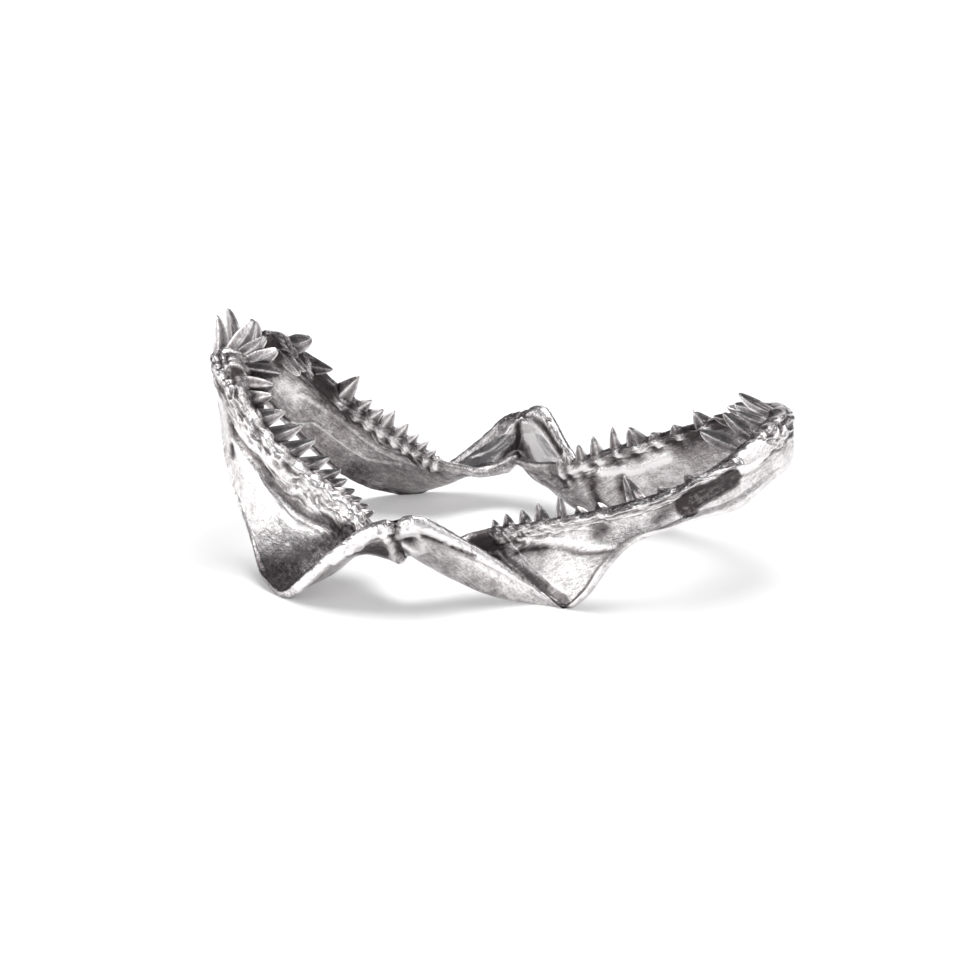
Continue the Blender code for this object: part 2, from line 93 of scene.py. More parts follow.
upperJaw = {
    "crest": [
        (0.00, 140, 0, 86.5), (0.07, 137, 14, 86.5), (0.15, 130, 30, 83), (0.24, 119, 45, 76.5),
        (0.34, 104, 56, 69), (0.46, 82, 62, 60), (0.58, 58, 64, 51), (0.68, 36, 63, 43),
        (0.78, 14, 64, 35), (0.85, 3, 74, 31), (0.92, -7, 83, 27.5), (1.00, -18.5, 91.8, 26.8),
    ],
    "belly": [
        (0.00, 144, 0, 71.5), (0.15, 135, 26, 67), (0.34, 111, 53, 58), (0.46, 92, 61, 48),
        (0.58, 70, 65, 38), (0.68, 50, 66, 23), (0.75, 36, 68, 9), (0.80, 23, 75, 5),
        (0.84, 13, 81, 8), (0.88, 5, 85, 13), (0.94, -6, 89, 20), (1.00, -18.5, 98, 32),
    ],
    "rim": [
        (0.00, 142.5, 0, 58.5), (0.07, 141.5, 10, 57.5), (0.15, 137.5, 20, 53.5), (0.24, 129.5, 32, 47.5),
        (0.34, 118, 46, 45), (0.46, 103, 58, 39), (0.58, 85, 69, 32), (0.64, 76, 75, 22),
        (0.70, 67, 76, 8), (0.75, 56, 75, 0.1), (0.80, 42, 71, 7.5), (0.84, 29, 79, 19),
        (0.88, 17, 89, 30.5), (0.93, 3, 101.5, 43), (0.97, -8, 108, 49.5), (1.00, -18.5, 109, 47),
    ],
    "lifts": {
        -1: {
            "crestBead": [
                (0, 0), (0.12, 0), (0.22, 0), (0.32, -1.2), (0.45, -1.5), (0.65, -1.2), (0.78, 0), (1, 0),
            ],
            "crest": [
                (0, -2), (0.1, -6), (0.2, -8.5), (0.3, -9), (0.45, -8), (0.7, -3.5), (0.82, 0), (0.88, 0),
                (0.94, 1.6), (1, 1.2),
            ],
            "belly": [
                (0, -1), (0.15, -3.5), (0.34, -4.5), (0.58, -3), (0.7, -1.5), (0.8, 0), (0.86, 0), (1, 0),
            ],
            "rim": [(0, 0), (0.1, -0.5), (0.2, -3), (0.3, -3), (0.42, 0), (0.5, 0), (1, 0)],
        },
        1: {
            "crest": [(0, -2), (0.08, -0.5), (0.2, 0), (0.3, 0), (0.8, 0), (0.88, 0), (0.96, 1.5), (1, 1)],
            "belly": [(0, -1), (0.08, 0), (0.16, 0), (1, 0)],
            "rim": [
                (0, 0), (0.25, 0), (0.4, -4), (0.55, -4), (0.66, 0), (0.78, 0), (0.86, 0), (0.92, -1.5),
                (0.97, 3.8), (1, 3.5),
            ],
        },
    },
    "plate": [(0, 6.0), (0.08, 5.0), (0.18, 2.6), (0.3, 1.35), (1, 1.35)],
    "crestBead": [
        (0, 6.5), (0.1, 7.2), (0.25, 7.0), (0.35, 6.0), (0.5, 5.0), (0.8, 3.2), (0.92, 2.8), (1, 4.2),
    ],
    "rimBead": [
        (0, 6.0), (0.15, 4.5), (0.3, 2.6), (0.6, 1.9), (0.75, 1.9), (0.85, 1.8), (0.94, 3.2), (1, 4.2),
    ],
    "collar": 0.45,
    "blotch": 0.25,
    "plateWave": 0.35,
    "innerShade": 0.35,
    "bandShade": 0.3,
    "rimLine": 0.2,
    "labialSign": -1,
    "jointSign": 1,
    "gumDepth": [(0, 13), (0.3, 10), (0.6, 9), (0.78, 14), (1, 10)],
    "gumHeight": [(0, 1.2), (0.2, 1.0), (0.4, 0.6), (0.7, 0.55), (0.78, 0.4), (0.86, 0.2), (1, 0.1)],
}

# Teeth of the left (-1) and right (1) halves: u of the root along the crest, the root's inset in mm, its depth
# as a share of the crest bead's radius, tip x, y, z and width in mm, degrees of twist about its length
lowerTeeth = {
    -1: [
        (0.040, -3.5, 0.9, -150.6, 7.5, 118, 8.5, 75), (0.070, 0, 0.9, -130.5, 6.5, 117, 12, 80),
        (0.165, 0.5, 0.9, -118, 20, 111, 9.5, 60), (0.195, 3.5, 0.9, -110.5, 23, 105.5, 10.5, 44),
        (0.230, 6, 0.15, -107, 29, 94.5, 8.5, 35), (0.290, 2, 0.7, -105, 43, 91.5, 10.5, 15),
        (0.345, 1, 0.8, -106, 43, 86.5, 10.5, 13), (0.405, 0.5, 0.8, -98.5, 44, 79, 9.5, 12),
        (0.470, 0.5, 0.8, -89, 45, 73, 9.5, 10), (0.530, 0.5, 0.8, -82, 46, 66, 9, 10),
        (0.595, 0.5, 0.8, -74, 47, 58, 8.5, 10), (0.645, 0.5, 0.8, -68, 48, 52, 7.5, 10),
        (0.678, 0.5, 0.8, -64, 50, 48, 6.5, 10), (0.708, 0.5, 0.8, -60, 50, 43, 6, 10),
        (0.734, 0.5, 0.8, -56, 51, 39, 6, 10), (0.757, 0.5, 0.8, -52, 52, 36, 5.5, 10),
        (0.780, 0.5, 0.8, -49, 53, 33.5, 5, 10),
    ],
    1: [
        (0.040, -3.5, 0.9, -151, 7.5, 119, 8.5, 50), (0.090, 0, 0.9, -136, 9, 112.5, 7.5, 40),
        (0.235, 0.5, 0.8, -117, 40, 98, 11.5, 40), (0.205, 4.5, 0.9, -120, 29, 80, 8, 55),
        (0.250, 4, 0.9, -118.5, 34, 81.5, 6.5, 70), (0.335, 0.5, 0.8, -107, 44, 81, 9.5, 40),
        (0.475, 0.5, 0.8, -92, 44, 78.5, 10.5, 10), (0.540, 0.5, 0.8, -86, 47, 65, 7, 10),
        (0.586, 0.5, 0.8, -80, 48, 60, 7.5, 10), (0.627, 0.5, 0.8, -73, 47, 60, 8, 0),
        (0.673, 0.5, 0.8, -66, 48, 53, 7, 0), (0.705, 0.5, 0.8, -60, 48, 48, 5.5, 0),
        (0.735, 0.5, 0.8, -55, 49, 44, 5, 0), (0.762, 0.5, 0.8, -51, 50, 39, 4.5, 0),
        (0.786, 0.5, 0.8, -49, 53, 34, 4, 0),
    ],
}
upperTeeth = {
    -1: [
        (0.030, 0, 0.7, 123, 8, 86, 6, 50), (0.100, 0.5, 0.6, 118, 16, 87, 7.5, 40),
        (0.070, 4, 0.9, 121, 10, 78, 5.5, 45), (0.150, 0.5, 0.4, 109.5, 28, 80, 9.5, 35),
        (0.298, 0.5, 0.8, 107, 50, 64, 7, 10), (0.367, 0.5, 0.8, 95, 55, 58, 7, 0),
        (0.438, 0.5, 0.8, 79, 57, 63, 7.5, -10), (0.524, 0.5, 0.8, 67, 60, 49.5, 6.5, -15),
        (0.572, 0.5, 0.8, 57, 61, 47, 6, -15), (0.619, 0.5, 0.8, 48, 61, 53, 4.5, -20),
        (0.662, 0.5, 0.8, 37, 60, 47, 6, -20), (0.700, 0.5, 0.8, 29, 60, 43, 5.5, -20),
        (0.736, 0.5, 0.8, 21, 59.5, 40, 5, -15), (0.765, 0.5, 0.8, 15, 61, 37, 4.5, 0),
    ],
    1: [
        (0.040, 0, 0.6, 120.5, 8, 91.5, 7, -60), (0.070, 0.5, 0.6, 117.5, 13, 84.5, 7.5, -75),
        (0.100, 4, 0.8, 119, 10, 80, 6, -75), (0.180, 0.5, 0.8, 110, 33, 78, 7, 75),
        (0.300, 2, 0.8, 100, 48, 69, 7, 60), (0.403, 0.5, 0.8, 87, 58, 69, 8.5, 38),
        (0.484, 0.5, 0.8, 76, 60, 60, 8, 30), (0.543, 0.5, 0.8, 64, 61, 54.5, 8, 30),
        (0.590, 0.5, 0.8, 52, 61, 57, 9.5, 20), (0.643, 0.5, 0.8, 43, 61, 57, 5, 10),
        (0.688, 0.5, 0.8, 33, 60, 51, 6, 10), (0.724, 0.5, 0.8, 25, 59.5, 46, 5.5, 10),
        (0.753, 0.5, 0.8, 19, 59.5, 40, 5, 10), (0.780, 0.5, 0.8, 14, 61, 37, 4.5, 10),
    ],
}

# Features of the surface: sides, face (1 outer, -1 inner, 0 both), path of (u, v), half width and height in mm,
# tarnish and painted light (painted shade above 0, painted highlight below 0), and "flat" for a smooth patch of one
# tone
left, right, both = (-1,), (1,), (-1, 1)
lowerFeatures = [
    # ridge under the gum with a painted highlight, and below it the long smooth groove with painted shade and its
    # lower lip with a painted highlight
    (both, 1, [(0.36, 0.34), (0.416, 0.29), (0.474, 0.215), (0.556, 0.215),
               (0.627, 0.2), (0.69, 0.185), (0.763, 0.09)], 1.7, 1, -0.3),
    (both, 1, [(0.33, 0.55), (0.394, 0.466), (0.481, 0.365), (0.562, 0.339),
               (0.634, 0.332), (0.683, 0.294), (0.75, 0.2)], 2.4, -1.8, 0.15),
    (both, 1, [(0.36, 0.62), (0.46, 0.48), (0.56, 0.43), (0.65, 0.41), (0.72, 0.33)], 3, 0.7, -0.4),
    # painted shade over the front of the jaw, with a pit
    (both, 1, [(0.12, 0.42), (0.163, 0.439), (0.245, 0.445), (0.31, 0.56)], 5, -0.6, 0.6),
    (both, 1, [(0.02, 0.1), (0.12, 0.12), (0.22, 0.16), (0.32, 0.14)], 6, 0, 0.5),
    # folds of the front gum with painted highlights, fanning out from the tooth roots, with painted shade in the
    # clefts between them
    (both, 1, [(0.1, 0.02), (0.14, 0.07), (0.2, 0.09), (0.26, 0.12)], 0.9, 1.3, -0.9),
    (both, 1, [(0.15, 0), (0.19, 0.04), (0.24, 0.06), (0.28, 0.09)], 0.9, 1.2, -0.8),
    (both, 1, [(0.205, -0.01), (0.235, 0.02), (0.27, 0.045), (0.3, 0.09)], 0.9, 1.2, -0.8),
    (both, 1, [(0.12, 0.03), (0.17, 0.06), (0.23, 0.085)], 1, -1.2, 1),
    (both, 1, [(0.18, 0.01), (0.22, 0.035), (0.27, 0.07)], 1, -1.2, 1),
    (both, 1, [(0.245, 0), (0.265, 0.02), (0.29, 0.05)], 1.3, -1.3, 1.1),
    (both, 1, [(0.345, 0.73), (0.36, 0.77)], 2.2, -1.3, 0.9),
    # hollow above the jaw's corner, with painted shade
    (both, 1, [(0.67, 1), (0.7, 0.84), (0.72, 0.6), (0.745, 0.36), (0.775, 0.22)], 8, -0.6, 0.65),
    (both, 1, [(0.73, 0.98), (0.745, 0.85)], 8, 0, 0.6),
    # inner face: hollow under the front teeth, the smooth lower band and the ridge that bounds it, then painted shade
    # on its hollows, a ridge and the far jaw's underside, and a painted highlight on a small bump
    (both, -1, [(0.33, 0.95), (0.378, 0.851), (0.417, 0.694), (0.494, 0.635),
                (0.572, 0.575), (0.617, 0.541), (0.7, 0.33)], 1, 0.7, 0),
    (both, -1, [(0.36, 1), (0.45, 0.84), (0.56, 0.78), (0.64, 0.75)], 7, -0.4, 0),
    (right, -1, [(0.10, 0.15), (0.16, 0.17), (0.23, 0.2)], 8, -0.8, 0.5),
    (right, -1, [(0.6, 0.98), (0.7, 0.97), (0.78, 0.9)], 8, 0, 0.45),
    (left, -1, [(0.13, 0.12), (0.2, 0.14), (0.3, 0.14), (0.4, 0.12)], 5.5, 2.2, 0.8),
    (both, -1, [(0.24, 0.33), (0.33, 0.22), (0.42, 0.2), (0.52, 0.18)], 7, -0.3, 0.4),
    (both, -1, [(0.26, 0.6), (0.31, 0.57)], 7, 0.4, -0.5),
    # the rim's inner band curls down over the jaw joint, with a painted highlight along the curl and painted shade in
    # the hollows and the dent at the joint
    (both, -1, [(0.88, 0.965), (0.905, 0.955), (0.925, 0.88), (0.944, 0.94), (0.956, 0.946),
                (0.969, 0.942), (0.978, 0.888), (0.981, 0.77), (0.975, 0.5), (0.971, 0.3)], 1.8, 1.9, -0.5),
    (both, -1, [(0.925, 0.72), (0.95, 0.65), (0.957, 0.55)], 6, -0.9, 0.9),
    (both, -1, [(0.965, 0.28), (0.972, 0.15)], 3, 1.2, 0.2),
    (both, 0, [(0.992, 0.85), (0.994, 0.6), (0.992, 0.35)], 1.5, -0.9, 0.7),
    (both, 0, [(1, 1), (1, 0.93)], 2.6, -2, 0.5),
    # far wing: a ridge line from the crest up to the joint with a painted highlight, painted shade above and below
    # it, and one patch of painted highlight
    (right, 1, [(0.87, 0.6), (0.894, 0.79), (0.929, 0.7), (0.949, 0.685),
                (0.964, 0.736), (0.979, 0.814), (1, 0.907)], 1.1, 0.9, -0.7),
    (right, 1, [(0.971, 0.92), (0.99, 0.95)], 6, -0.3, 0.5),
    (right, 1, [(0.9, 0.86), (0.94, 0.88)], 7, 0, 0.3),
    (right, 1, [(0.965, 0.44), (0.983, 0.49), (0.995, 0.6)], 4.5, -0.6, 0.8),
    (right, 1, [(0.9, 0.45), (0.925, 0.35), (0.95, 0.25)], 3.5, -0.3, 0.6),
    (right, 1, [(0.934, 0.59), (0.95, 0.53)], 3.2, 0.4, -1.6),
    (right, 1, [(0.952, 0.62), (0.966, 0.65), (0.978, 0.72)], 0.9, 0.5, -0.6),
    (right, 1, [(0.96, 0.55), (0.974, 0.6), (0.986, 0.7)], 0.8, 0.5, -0.5),
]
upperFeatures = [
    # painted shade in the hollow band of the outer face, a painted reflection on the patch before it and painted
    # highlights along the lower edge
    (both, 1, [(0.225, 0.42), (0.25, 0.45), (0.28, 0.49), (0.32, 0.48), (0.36, 0.58)], 6, -0.7, 0.8, "flat"),
    (both, 1, [(0.36, 0.4), (0.42, 0.55), (0.45, 0.62)], 3, -0.4, 0.7),
    (both, 1, [(0.13, 0.19), (0.165, 0.24), (0.185, 0.22)], 5.5, 0.5, -1.5, "flat"),
    (both, 1, [(0.2, 0.06), (0.195, 0.14), (0.2, 0.22)], 0.8, 0.9, -1),
    (both, 1, [(0.29, 0.05), (0.245, 0.12), (0.215, 0.2), (0.2, 0.22)], 0.8, 0.9, -0.9),
    (both, 1, [(0.07, 0.75), (0.12, 0.65), (0.17, 0.87), (0.26, 0.87)], 5, 0, -0.1),
    (both, 1, [(0.3, 0.98), (0.42, 0.96), (0.52, 0.97)], 2, 0.3, -0.8),
    (both, 1, [(0.56, 0.4), (0.575, 0.43)], 4, -0.5, 0.7),
    # groove with painted shade and ridge with a painted highlight across the outer plate
    (both, 1, [(0.75, 0.2), (0.713, 0.24), (0.68, 0.33), (0.659, 0.42), (0.64, 0.59), (0.6, 0.86)], 1.1, -0.35, 0.45),
    (both, 1, [(0.72, 0.12), (0.69, 0.22), (0.655, 0.28), (0.62, 0.48), (0.585, 0.8)], 1.8, 0.35, -0.4),
    (both, 1, [(0.735, 0.22), (0.715, 0.24), (0.69, 0.3)], 3, -0.2, 0.4),
    # streaky hollow above the jaw's corner: painted shade crossed by thin painted highlights
    (both, 1, [(0.81, 0.1), (0.79, 0.2), (0.765, 0.45), (0.752, 0.65), (0.755, 0.9)], 8.5, -0.2, 0.7, "flat"),
    (both, 1, [(0.84, 0.12), (0.8, 0.06), (0.765, 0.08)], 6, 0, 0.7),
    (both, 1, [(0.75, 0.05), (0.735, 0.25), (0.722, 0.5), (0.715, 0.8)], 0.6, 0.4, -1),
    (both, 1, [(0.775, 0.15), (0.755, 0.35), (0.742, 0.6), (0.737, 0.8)], 0.5, 0.3, -0.8),
    (both, 1, [(0.79, 0.2), (0.77, 0.4), (0.757, 0.62)], 0.5, 0.3, -0.6),
    # inner face: painted highlight along the gum's edge and painted shade in shallow bowls below it
    (both, -1, [(0.74, 0.1), (0.715, 0.14), (0.69, 0.22), (0.664, 0.3), (0.629, 0.4), (0.56, 0.45)], 2.3, 0.8, -1.1),
    (both, -1, [(0.71, 0.13), (0.735, 0.29), (0.745, 0.45), (0.735, 0.6)], 2.6, -0.8, 0.5),
    (both, -1, [(0.66, 0.33), (0.69, 0.48), (0.7, 0.62)], 2.2, -0.7, 0.5),
    (both, -1, [(0.5, 0.3), (0.4, 0.35), (0.3, 0.35)], 8, -0.4, 0.4),
    # knob and hollow of the jaw joint, with painted highlights on the knob and its ridge and painted shade in the
    # hollows and grooves
    (both, -1, [(0.93, 0.97), (0.965, 0.96), (0.985, 0.9)], 3, 1.2, -0.4),
    (both, -1, [(0.982, 0.8), (0.984, 0.74)], 3.2, -1.4, 0.3),
    (both, -1, [(0.965, 0.88), (0.962, 0.7), (0.975, 0.58), (0.992, 0.6)], 1.4, 1, -0.5),
    (both, -1, [(0.961, 0.89), (0.946, 0.915), (0.933, 0.925)], 2.3, -0.7, 1.1),
    (both, -1, [(0.915, 0.925), (0.9, 0.935), (0.885, 0.945)], 1.7, -0.5, 1),
    (both, 0, [(1, 1), (1, 0.93)], 2.6, -2, 0.5),
    # far wing: a painted bright reflection in the bowl, a painted dark reflection as a stripe along its grainy rim,
    # and painted shade beside them
    (right, 1, [(0.991, 0.868), (0.974, 0.82), (0.953, 0.785), (0.934, 0.791)], 5.5, 0.3, -1.5),
    (right, 1, [(0.985, 0.98), (0.95, 0.98), (0.9, 0.985)], 2.5, 0, 0.4),
    (right, 1, [(0.986, 0.91), (0.973, 0.885), (0.958, 0.885), (0.935, 0.9), (0.91, 0.915)], 2.6, -0.9, 1.5),
    (right, 1, [(0.998, 0.95), (0.998, 0.6), (0.995, 0.4)], 2.2, -0.3, 0.5),
    (right, 1, [(0.985, 0.55), (0.965, 0.45), (0.94, 0.5)], 5, -0.4, 0.8),
]
meshing = {"alongSteps": 400, "acrossSteps": 90, "toothRings": 22, "toothSides": 28, "seam": 0.06}
# the tarnish value holds painted shade and painted highlights as well as random tarnish blotches; on the teeth the
# relief value holds painted light from root to tip
surfaceValues = ("relief", "tarnishAndPaintedLight", "alongJaw", "acrossJaw")  # kept at each vertex for the metal to read


def curveThrough(stations, u, mirrored=False):
    # cubic Hermite through the stations; a rail is continued past the symphysis by its own mirror image
    table = np.array(stations, float)
    keys, values = table[:, 0], table[:, 1:]
    if mirrored:
        flip = np.array([1.0, -1.0, 1.0]) if values.shape[1] == 3 else 1.0
        keys = np.concatenate([-keys[2:0:-1], keys])
        values = np.concatenate([values[2:0:-1] * flip, values])
    slopes = np.gradient(values, keys, axis=0)
    i = np.clip(np.searchsorted(keys, u, side="right") - 1, 0, len(keys) - 2)
    span = (keys[i + 1] - keys[i])[:, None]
    t = (u - keys[i])[:, None] / span
    return (
        (2 * t**3 - 3 * t**2 + 1) * values[i]
        + (t**3 - 2 * t**2 + t) * span * slopes[i]
        + (-2 * t**3 + 3 * t**2) * values[i + 1]
        + (t**3 - t**2) * span * slopes[i + 1]
    )


def unit(vectors):  # each vector over its length
    return vectors / np.maximum(np.linalg.norm(vectors, axis=-1, keepdims=True), 1e-9)


def bump(distance, width):
    return np.exp(-((distance / width) ** 2))  # bell curve, 1 at distance 0


def ramp(value, low, high):
    t = np.clip((value - low) / (high - low), 0, 1)
    return t * t * (3 - 2 * t)  # smooth step from 0 at low to 1 at high


def gradientNoise(points, seed):
    # each lattice point has a pseudo-random slope; the eight round a point are blended by a quintic
    cell = np.floor(points).astype(np.int64)
    part = points - cell
    fade = part**3 * (part * (part * 6 - 15) + 10)
    total = np.zeros(points.shape[:-1])
    for corner in range(8):
        step = np.array([corner & 1, corner >> 1 & 1, corner >> 2 & 1])
        where = cell + step
        key = where[..., 0] * 73856093 ^ where[..., 1] * 19349663
        key = key ^ where[..., 2] * 83492791 ^ seed * 97531
        key = (key ^ key >> 13) * 1274126177 & 0xFFFFFFFF
        key = (key ^ key >> 15) * 668265263 & 0xFFFFFFFF
        slope = np.stack([key >> shift & 255 for shift in (0, 8, 16)], axis=-1) / 127.5 - 1
        weight = np.prod(np.where(step, fade, 1 - fade), axis=-1)
        total += weight * ((part - step) * slope).sum(-1)
    return total * 1.5


def layeredNoise(points, size, layers, seed):
    # each layer is half as big and half as strong as the one before
    total = np.zeros(points.shape[:-1])
    for layer in range(layers):
        total += gradientNoise(points / size * 2.0**layer + 7.3 * layer, seed + layer) / 2.0**layer
    return total


def ridgedNoise(points, size, seed):
    return 1 - 2 * np.abs(gradientNoise(points / size, seed))  # sharp crests where the noise crosses zero


def railPoints(jaw, side, rail, u):
    # the rail on the +Y side, with the lift of its own side
    points = curveThrough(jaw[rail], u, True)
    if rail in jaw["lifts"][side]:
        points[:, 2] += curveThrough(jaw["lifts"][side][rail], u, True)[:, 0]
    return points


def beadRadius(jaw, side, name, u):
    # the jaw's own radius at each u, plus what its side adds
    radius = curveThrough(jaw[name], u)
    if name in jaw["lifts"][side]:
        radius = radius + curveThrough(jaw["lifts"][side][name], u)
    return radius


def middleSheet(jaw, side, u, v):
    # parabola in v from the crest through the belly to the rim, at each u
    crest, belly, rim = (railPoints(jaw, side, rail, u)[:, None] for rail in ("crest", "belly", "rim"))
    v = np.asarray(v)[..., None] if np.ndim(v) == 2 else np.asarray(v)[None, :, None]
    return crest * (1 - v) * (1 - 2 * v) + belly * 4 * v * (1 - v) + rim * v * (2 * v - 1)


def halfThickness(v, width, plate, crestBead, rimBead):
    # round bead at the crest, thin plate, round rim, as half a thickness in mm
    fromCrest, fromRim = v * width, (1 - v) * width

    def bead(distance, radius):
        rounded = np.sqrt(np.clip(radius**2 - (distance - radius) ** 2, 0, None))
        return np.where(distance < radius, rounded, radius * bump(distance - radius, 1.1 * radius))

    plate = plate * np.sqrt(np.clip(1 - (1 - np.clip(fromCrest / 2, 0, 1)) ** 2, 0, 1))
    plate = plate * np.sqrt(np.clip(1 - (1 - np.clip(fromRim / 1.6, 0, 1)) ** 2, 0, 1))
    return np.maximum(plate, np.maximum(bead(fromCrest, crestBead), bead(fromRim, rimBead)))


def inPlace(jaw, points, side):
    # mm on the +Y side to metres on either side, kept clear of the seams and the floor
    moved = np.array(points, float)
    edge = jointX + jaw["jointSign"] * meshing["seam"] / 2
    moved[..., 0] = np.maximum(moved[..., 0] * jaw["jointSign"], edge * jaw["jointSign"]) * jaw["jointSign"]
    moved[..., 0] -= ringCentreX
    moved[..., 1] = np.maximum(moved[..., 1], meshing["seam"] / 2) * side
    moved[..., 2] = np.maximum(moved[..., 2], 0)
    return moved * mm


def surfaceNormals(grid):
    # cross product of the two grid directions; the second one closes on itself
    alongU = np.gradient(grid, axis=0)
    alongRing = np.roll(grid, -1, axis=1) - np.roll(grid, 1, axis=1)
    return unit(np.cross(alongU, alongRing))


def pathDistance(jaw, side, path, middle):
    # shortest distance in mm from each point of the sheet to a path drawn on it in (u, v)
    stations = np.array(path, float)
    steps = np.linspace(0, len(stations) - 1, 12 * len(stations))
    u = np.interp(steps, np.arange(len(stations)), stations[:, 0])
    v = np.interp(steps, np.arange(len(stations)), stations[:, 1])
    line = middleSheet(jaw, side, u, v[:, None])[:, 0]
    shortest = np.full(middle.shape[:2], 1e9)
    for point in line:
        shortest = np.minimum(shortest, ((middle - point) ** 2).sum(-1))
    return np.sqrt(shortest)


# Relief of the casting, in mm. A band is its height, distance from the crest or the rim, and width.
# A noise is its size, layers and seed, a ridged noise its size and seed.
cast = {
    "collar": (0.8, 3, 3),  # band outside each tooth
    "rootKnobs": (0.7, 4.6, 1.7),  # band of two knobs below it
    "innerKnob": (1, 5, 3.6),  # band inside each tooth, times its height and lumps
    "innerKnobHeight": (1.7, 1.6),
    "socket": (1.4, 8.5, 2.4),  # band of hollows beside the knobs
    "collarReach": 0.42,  # along the jaw, in widths of the tooth
    "rootKnobsAside": (0.3, 1.5),  # widths of the tooth to the side, and reach along the jaw in mm
    "socketAside": (0.55, 1.7),
    "toothedTo": (0.79, 0.84),  # u over which the gum of the teeth ends
    "rearFrom": (0.76, 0.82),  # u over which the rear wing begins
    "crestDip": (0.9, 1.5, 5),  # depth between the teeth, and mm from the crest over which it ends
    "ragged": (0.4, 4, 9),
    "fineRagged": (2.3, 71),
    "coarseRagged": (4.5, 72),
    "gumLine": (8, 2.6, 1.5),  # edge of the gum below the crest, its lift at a tooth, its wandering
    "gumEdge": (0.55, 0, 0.8),  # bands from the gum's edge
    "gumGroove": (0.45, 1.6, 0.9),
    "gumStart": (1, 4),  # mm from the crest, and shares of the gum's depth, over which it starts and ends
    "gumEnd": (0.75, 1.25),
    "strandHeight": 1.4,
    "strandLength": 15,
    "strandWidth": 2.1,
    "strands": (1, 11),  # in strands, not mm
    "fineStrands": (0.47, 12),
    "knotHeight": 0.4,
    "knots": (4.2, 41),
    "knotShare": (9, 1, 43),
    "lumps": (6.5, 2, 81),
    "wander": (15, 2, 5),
    "waveHeight": 0.35,  # of the plates
    "waves": (17, 2, 21),
    "plateGrainHeight": 0.14,
    "plateGrain": (3.4, 3, 31),
    "creaseHeight": 0.1,
    "creases": (5.2, 35),
    "rimGroove": (0.8, 3.6, 0.6),  # bands inside the rear rim
    "rimRidge": (0.4, 5.4, 1.3),
    "rimStrip": (1, 1.5, 2),  # granules on the rim
    "granuleHeight": 0.6,
    "granules": (1.7, 51),
    "blotches": (2.6, 2, 91),
    "leastMetal": 1.1,  # between hollows of the two faces
    "wobble": (0.12, 0.1),  # of a drawn feature's edge, in half widths
    "flatEdge": (0.8, 1.1),  # half widths over which a flat patch ends
    "flatness": 0.75,
}
# Weights in the tarnish value: painted shade between the strands and in the sockets, painted highlights on the rim
# and the knobs, painted light on the rim's granules, and random tarnish blotches
tones = {
    "betweenStrands": 0.55,
    "rimShine": 0.3,
    "blotches": 0.17,
    "granules": 0.45,
    "sockets": 0.45,
    "knobs": 0.9,
    "innerTone": (1, 6, 3.5),  # band of the painted highlight on the knobs and the painted shade in the sockets
    "rimLine": (1, 3.7, 0.7),  # band of the painted shadow line beside the rim
}


def band(shape, distance):
    # ridge or groove along a rail: a bell curve round its own distance
    height, at, width = shape
    return height * bump(distance - at, width)


def toothRelief(jaw, teeth, length, u, fromCrest, labial, lumps):
    # outside each tooth a collar and two knobs below it, inside it one lumpy knob with a socket beside it
    relief = np.zeros(labial.shape)
    nearTooth = np.zeros(labial.shape)
    for tooth in teeth:
        along, wide = length - np.interp(tooth[0], u, length[:, 0]), tooth[6]
        share = bump(along, wide * cast["collarReach"]) * jaw["collar"]
        nearTooth = np.maximum(nearTooth, share)
        aside, reach = cast["rootKnobsAside"]
        roots = (bump(along + wide * aside, reach) + bump(along - wide * aside, reach)) * jaw["collar"]
        outside = share * band(cast["collar"], fromCrest) + roots * band(cast["rootKnobs"], fromCrest)
        knobHeight, lumpy = cast["innerKnobHeight"]
        aside, reach = cast["socketAside"]
        inside = (knobHeight + lumpy * lumps) * share * band(cast["innerKnob"], fromCrest)
        inside -= bump(along - wide * aside, reach) * band(cast["socket"], fromCrest)
        relief += labial * outside + (1 - labial) * inside
    return relief, nearTooth


